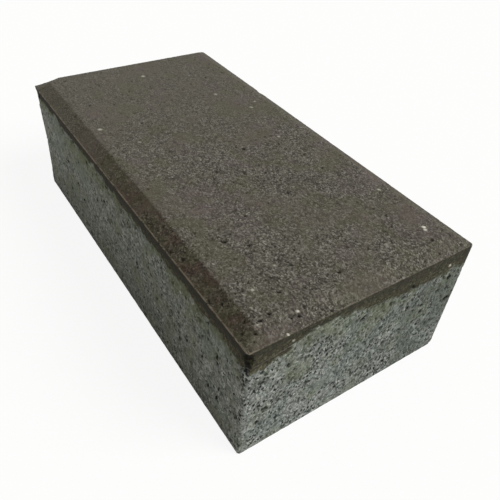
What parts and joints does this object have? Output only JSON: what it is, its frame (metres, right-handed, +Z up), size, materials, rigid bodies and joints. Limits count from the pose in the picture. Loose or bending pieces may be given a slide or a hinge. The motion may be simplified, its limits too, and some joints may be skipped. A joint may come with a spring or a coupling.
{
  "type": "concrete paving stone",
  "caption": "Rectangular pressed concrete paving block with a chamfered dark facing mix over coarse grey backing concrete, flat below for bedding in sand.",
  "frame": {"origin": "middle of the flat underside that the stone beds on", "axes": "+X along the length, +Y across the width, +Z up out of the worn face"},
  "size_m": [0.2, 0.1, 0.06],
  "materials": {
    "facing_concrete": "fine dark brown-grey pigmented facing concrete, pressed, dull, sandy, with fine pits and a few pale quartz grains",
    "backing_concrete": "coarse light grey backing concrete, pressed against the mould wall, dull, with open pores and pale and dark aggregate"
  },
  "bodies": {
    "root": {"facing_layer": "facing_concrete", "backing_layer": "backing_concrete"}
  },
  "joints": []
}
